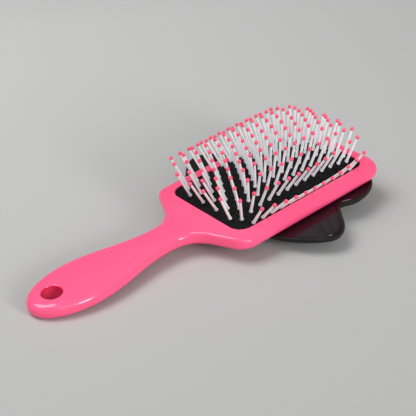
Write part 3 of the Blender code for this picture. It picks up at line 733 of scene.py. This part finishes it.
def hemPlace(place):
    # straight down along the window's wall
    return Vector((place.x, place.y, pad["edge"]))


def flangePlace(place):
    # straight out from the window's edge, under the lip
    reachX, reachY = halfWindow - window["corner"], middleY - window["corner"]
    coreX = min(max(place.x, -reachX), reachX)
    coreY = middleY + min(max(place.y - middleY, -reachY), reachY)
    core = Vector((coreX, coreY))
    out = (Vector((place.x, place.y)) - core).normalized()
    spot = core + out * (window["corner"] + pad["flange"])
    return Vector((spot.x, spot.y, pad["edge"]))


makePad()
print("rubber pad ready")


# Pins: each stands on its foot, leans out towards the frame and ends in a dipped ball

pin = {
    "sides": 10, "length": 19.7, "tip": 1.23, "tipStretch": 1.28, "tipRings": 6, "tipSmooth": 80.0,
    "sections": (  # height and radius: root, foot, shaft
        (-2.2, 0.45), (-0.1, 0.50), (-0.05, 1.05), (0.30, 1.26), (0.80, 1.18), (1.7, 0.90), (19.1, 0.76),
    ),
}


def makePin():
    bpy.ops.object.select_all(action="DESELECT")
    start, radius = pin["sections"][0]
    bpy.ops.mesh.primitive_circle_add(vertices=pin["sides"], radius=radius, fill_type="NGON",
                                      location=(0, 0, start))
    master = bpy.context.object
    bpy.ops.object.transform_apply(location=True, rotation=False, scale=False)
    bpy.ops.object.mode_set(mode="EDIT")
    for height, wide in pin["sections"][1:]:
        bpy.ops.mesh.extrude_region_move(TRANSFORM_OT_translate={"value": (0, 0, height - start)})
        share = wide / radius
        bpy.ops.transform.resize(value=(share, share, 1.0), center_override=(0, 0, height))
        start, radius = height, wide
    bpy.ops.mesh.select_all(action="SELECT")
    closeUp()
    return master


def makeTip():
    bpy.ops.object.select_all(action="DESELECT")
    bpy.ops.mesh.primitive_uv_sphere_add(segments=pin["sides"], ring_count=pin["tipRings"], radius=pin["tip"])
    master = bpy.context.object
    for vert in master.data.vertices:
        if vert.co.z < 0:
            vert.co.z *= pin["tipStretch"]
        vert.co.z += pin["length"]
    return master


def copiesOf(master, name, feet):
    # one copy for each foot, each stood on the rubber and turned to its own lean
    made = []
    for foot in feet:
        copy = master.copy()
        copy.data = master.data.copy()
        bpy.context.scene.collection.objects.link(copy)
        lean = pinWay(foot.x, foot.y).to_track_quat("Z", "Y").to_matrix().to_4x4()
        copy.data.transform(Matrix.Translation(foot) @ lean)
        made.append(copy)
    bpy.ops.object.select_all(action="DESELECT")
    for copy in made:
        copy.select_set(True)
    bpy.context.view_layer.objects.active = made[0]
    bpy.ops.object.join()
    made[0].name = name
    made[0].data.name = name
    return made[0]


def makePins():
    shaft, ball = makePin(), makeTip()
    for number, row in enumerate(pinRows(), 1):
        strip = "pin_strip_%02d" % number
        ends = field["atEnds"]
        stretches = {"": row}
        if 1 < number < field["rows"]:
            stretches = {"_handle_end": row[:ends], "_middle": row[ends:-ends], "_far_end": row[-ends:]}
        for word, feet in stretches.items():
            body = frame["nodes"][strip + word]["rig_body"]
            pins = copiesOf(shaft, "pins_%02d%s" % (number, word), feet)
            settle(pins, nylonWhite, body, [strip + word])
            tips = copiesOf(ball, "ball_tips_%02d%s" % (number, word), feet)
            settle(tips, tipPink, body, (), pin["tipSmooth"])
    bpy.data.objects.remove(shaft)
    bpy.data.objects.remove(ball)


makePins()
print("pins ready")


# Ornament behind the head: a butterfly plate with domed wing panels that the brush rests on

ornament = {
    "halfSpan": 66.0, "length": 94.0, "inset": 5.3, "plate": 2.8, "plateRound": 0.45, "roundSteps": 5,
    "outline": (
        (0.00, 0.20), (0.12, 0.12), (0.36, 0.01), (0.64, 0.05), (0.87, 0.17),
        (0.985, 0.30), (0.93, 0.42), (0.76, 0.52), (0.67, 0.58), (0.715, 0.70),
        (0.68, 0.85), (0.57, 0.96), (0.38, 1.00), (0.20, 0.96), (0.08, 0.87), (0.00, 0.83),
    ),
    "steps": 52, "ribPitch": 2.2, "ribDepth": 0.42, "border": 2.2, "groove": 0.55, "grooveDepth": 0.35,
    "grooveShape": ((0.0, 0.0), (0.25, 0.8), (0.5, 1.0), (0.75, 0.8), (1.0, 0.0)),
    "fore": {"at": (0.53, 0.29), "length": 20.0, "width": 15.0, "angle": 15.0, "relief": 8.5},
    "hind": {"at": (0.39, 0.77), "length": 15.0, "width": 13.0, "angle": 50.0, "relief": 6.0},
    "thorax": {"at": (0.0, 0.51), "length": 33.0, "width": 6.0, "relief": 7.0},
    "screwShare": 0.62, "thoraxScrewShare": 0.45,
    "veins": (((0.10, 0.40), (0.40, 0.30), (0.93, 0.27)), ((0.10, 0.43), (0.45, 0.42), (0.90, 0.40)),
              ((0.10, 0.36), (0.35, 0.18), (0.70, 0.09)), ((0.08, 0.62), (0.35, 0.66), (0.66, 0.72)),
              ((0.08, 0.66), (0.32, 0.78), (0.60, 0.91)), ((0.07, 0.72), (0.20, 0.84), (0.36, 0.96))),
    "veinRadius": 0.55, "veinEnd": 0.45, "veinSink": 0.35, "veinBevel": 3, "veinSteps": 10,
}
domed = {
    "wall": 1.8, "sides": 96, "innerSteps": 10, "outerSteps": 16, "flatness": 3.6, "fullness": 0.4,
    "crown": 0.04, "rays": 9, "rayDepth": 0.45,
}
plateTop = -outer["thickness"] - outer["gap"]
plateBottom = plateTop - ornament["plate"]
panelTop = plateBottom - outer["gap"]
ornamentStart = headEnd - ornament["inset"] - ornament["length"]


def onPlate(share):
    return Vector((ornament["halfSpan"] * share[0], ornamentStart + ornament["length"] * share[1]))


def softCurve(points, steps):
    curve = []
    for index in range(len(points)):
        before, start, end, after = (points[(index + shift) % len(points)] for shift in (-1, 0, 1, 2))
        for step in range(steps):
            t = step / steps
            square = 2 * before - 5 * start + 4 * end - after
            cube = 3 * start - 3 * end + after - before
            curve.append(0.5 * (2 * start + (end - before) * t + square * t ** 2 + cube * t ** 3))
    return curve


def wingPanels():
    panels = []
    for side, word in ((-1, "left"), (1, "right")):
        for kind in ("fore", "hind"):
            sizes = ornament[kind]
            centre = onPlate(sizes["at"])
            centre.x *= side
            angle = side * math.radians(sizes["angle"])
            inwardX = -side * sizes["length"] * ornament["screwShare"]
            screw = centre + Matrix.Rotation(angle, 2) @ Vector((inwardX, 0))
            panels.append((kind + "_wing_" + word, centre, sizes, angle, [screw]))
    return panels


def thoraxScrews():
    centre = onPlate(ornament["thorax"]["at"])
    reach = ornament["thorax"]["length"] * ornament["thoraxScrewShare"]
    return [centre + Vector((0, side * reach)) for side in (-1, 1)]


def allScrews():
    wingScrews = [screws[0] for name, centre, sizes, angle, screws in wingPanels()]
    return wingScrews + thoraxScrews()


def makePlate():
    knots = mirrored([onPlate(share) for share in ornament["outline"]])
    points = softCurve(knots, ornament["steps"])
    ways = inwards(points)
    run = 0.0
    ribs = []
    for index, point in enumerate(points):
        ribs.append((1 - math.cos(math.tau * run / ornament["ribPitch"])) / 2 * ornament["ribDepth"])
        run += (points[(index + 1) % len(points)] - point).length
    # inset, height and share of the ribs: round the edge from below, then over the groove
    levels = []
    soft = ornament["plateRound"]
    for turn in quarter(ornament["roundSteps"]):
        rise = soft * (1 - math.cos(turn))
        levels.append((soft * (1 - math.sin(turn)), plateBottom + rise, math.sin(turn)))
    for turn in reversed(quarter(ornament["roundSteps"])):
        rise = soft * (1 - math.cos(turn))
        levels.append((soft * (1 - math.sin(turn)), plateTop - rise, math.sin(turn)))
    deep, wide = ornament["grooveDepth"], ornament["groove"]
    for inset, drop in ornament["grooveShape"]:
        levels.append((ornament["border"] + wide * inset, plateTop - deep * drop, 0.0))
    rings = []
    for inset, height, ribbed in levels:
        ring = [point + way * (inset + rib * ribbed) for point, way, rib in zip(points, ways, ribs)]
        rings.append(lifted(ring, height))
    plate = drawShell("ornament_back", rings)
    for place in allScrews():
        carve(plate, screwBore(place, plateBottom - pastFace, 0.0))
    return plate


def makeVeins():
    # raised wing veins, sunk in the plate a little past half and thinner towards the edge
    made = []
    for side in (-1, 1):
        for shares in ornament["veins"]:
            places = [onPlate(share) for share in shares]
            bpy.ops.object.select_all(action="DESELECT")
            bpy.ops.curve.primitive_bezier_curve_add()
            curve = bpy.context.object
            spline = curve.data.splines[0]
            spline.bezier_points.add(1)
            for knot, place in zip(spline.bezier_points, places):
                knot.handle_left_type = knot.handle_right_type = "AUTO"
                knot.co = (place.x * side, place.y, plateTop - ornament["veinRadius"] * ornament["veinSink"])
            spline.bezier_points[-1].radius = ornament["veinEnd"]
            curve.data.bevel_depth = ornament["veinRadius"]
            curve.data.bevel_resolution = ornament["veinBevel"]
            curve.data.resolution_u = ornament["veinSteps"]
            curve.data.use_fill_caps = True
            bpy.ops.object.convert(target="MESH")
            bpy.ops.object.transform_apply()
            made.append(bpy.context.object)
    return made


def domeRings(outlineRing, centre, relief, steps, rayDepth):
    # from the lip in to the crown, with rays that are deepest halfway
    rings = []
    for step in range(steps + 1):
        share = math.sin(math.pi / 2 * (1 - step / steps)) if step < steps else domed["crown"]
        depth = max(1 - share ** domed["flatness"], 0.0) ** domed["fullness"]
        sink = rayDepth * share * (1 - share) * 4
        ring = []
        for index, point in enumerate(outlineRing):
            spot = centre + (point - centre) * share
            wave = 0.5 + 0.5 * math.cos(math.tau * index * domed["rays"] / len(outlineRing))
            ring.append(Vector((spot.x, spot.y, panelTop - relief * depth + sink * wave)))
        rings.append(ring)
    return rings


def makeDome(name, centre, sizes, angle, screws):
    turn = Matrix.Rotation(angle, 2)
    ring = [centre + turn @ Vector((sizes["length"] * point.x, sizes["width"] * point.y))
            for point in circle(0, 0, 1.0, domed["sides"])]
    hollow = shrunk(ring, domed["wall"])
    inner = domeRings(hollow, centre, sizes["relief"] - domed["wall"], domed["innerSteps"], 0.0)
    outside = domeRings(ring, centre, sizes["relief"], domed["outerSteps"], domed["rayDepth"])
    dome = drawShell(name + "_dome", list(reversed(inner)) + outside)
    bossEnd = panelTop - sizes["relief"] * screwHole["bossShare"]
    for place in screws:
        boss = post(place.x, place.y, screwHole["boss"], bossEnd, panelTop, screwHole["bossSides"])
        carve(dome, boss, "UNION")
        carve(dome, screwBore(place, panelTop - screwHole["depth"], panelTop + pastFace / 2))
    settle(dome, polishedBlack, "brush", [name])


def makeOrnament():
    plate = makePlate()
    veins = makeVeins()
    bpy.ops.object.select_all(action="DESELECT")
    for item in (plate, *veins):
        item.select_set(True)
    bpy.context.view_layer.objects.active = plate
    bpy.ops.object.join()
    settle(plate, polishedBlack, "brush", ["ornament_plate"])
    evenShade(plate)
    for name, centre, sizes, angle, screws in wingPanels():
        makeDome(name, centre, sizes, angle, screws)
    sizes = ornament["thorax"]
    makeDome("thorax", onPlate(sizes["at"]), sizes, math.pi / 2, thoraxScrews())


makeCover(allScrews())
print("back cover ready")
makeOrnament()
print("ornament ready")

# CAD pieces that stay as they are, in their own finish
for name, node in frame["nodes"].items():
    if name == "clamp_ring" or name.startswith("ornament_screw"):
        node.data.materials.clear()
        node.data.materials.append(ringBlack if name == "clamp_ring" else zincSteel)


# Floor, light and camera

studio = {
    "floor": 0.470, "floorTint": 0.995, "floorSize": 8.0, "ambient": 0.25,
    "fade": (-0.72, 0.28, 0.0), "fadeEnds": (-0.3, 0.3), "fadeTones": (0.7, 1.3), "unevenness": 0.02,
    "backdrop": 0.46, "nearBackdrop": 0.5, "farBackdrop": 1.7,
    "overhead": {"size": 0.8, "at": (-0.29, -0.50, 1.18), "power": 12.5},
    "side": {"size": 0.30, "at": (1.05, 0.04, 0.42), "power": 5.6},
    "near": {"size": 1.1, "at": (1.05, -0.18, 0.75), "power": 4.5},
}
shot = {"at": (0.40982, -0.35119, 0.34170), "azimuth": 48.85, "elevation": 30.66, "lens": 91.46}


def makeStudio():
    bpy.ops.object.select_all(action="DESELECT")
    bpy.ops.mesh.primitive_plane_add(size=studio["floorSize"])
    floor = bpy.context.object
    floor.name = "studio_floor"
    paint = Finish("floor_paint", Roughness=0.75, Specular_IOR_Level=0.2, Emission_Strength=1.0)
    # lighter towards the far left, as the light falls
    slope = paint.node("ShaderNodeVectorMath", {"operation": "DOT_PRODUCT"},
                       {0: paint.place(), 1: studio["fade"]}, "Value")
    fall = paint.level(slope + paint.noise(3.0, 2.0) * studio["unevenness"], *studio["fadeEnds"])
    greys = [studio["floor"] * tone for tone in studio["fadeTones"]]
    dark, light = (colour(grey, grey, grey * studio["floorTint"]) for grey in greys)
    paint.give("Base Color", paint.mix(fall, dark, light))
    # far from the brush the floor shows an even pale tone, to the camera and in gloss, that lights nothing
    distance = paint.offAxis((0.0, 0.0, 0.0), (0.0, 0.0, 1.0))
    away = paint.level(distance, studio["nearBackdrop"], studio["farBackdrop"])
    straight, glossy, through = (paint.node("ShaderNodeLightPath", {}, {}, "Is %s Ray" % word)
                                 for word in ("Camera", "Glossy", "Transmission"))
    seen = straight + glossy + through
    pale = studio["backdrop"]
    paint.give("Emission Color", paint.mix(away * seen, colour(0.0, 0.0, 0.0), colour(pale, pale, pale)))
    floor.data.materials.append(paint.material)
    world = bpy.data.worlds.new("studio_air")
    bpy.context.scene.world = world
    world.use_nodes = True
    world.node_tree.nodes["Background"].inputs["Color"].default_value = colour(1.0, 1.0, 1.0)
    world.node_tree.nodes["Background"].inputs["Strength"].default_value = studio["ambient"]
    for name in ("overhead", "side", "near"):
        lamp = studio[name]
        bpy.ops.object.light_add(type="AREA", location=lamp["at"])
        softbox = bpy.context.object
        softbox.name = name + "_softbox"
        softbox.data.size = lamp["size"]
        softbox.data.energy = lamp["power"]
        softbox.rotation_euler = (-Vector(lamp["at"])).to_track_quat("-Z", "Y").to_euler()


def makeCamera():
    bpy.ops.object.camera_add(location=shot["at"])
    camera = bpy.context.object
    camera.rotation_euler = (math.radians(90 - shot["elevation"]), 0, math.radians(shot["azimuth"]))
    camera.data.lens = shot["lens"]
    bpy.context.scene.camera = camera


makeStudio()
makeCamera()
bpy.context.scene.view_settings.view_transform = "Standard"
print("studio ready")
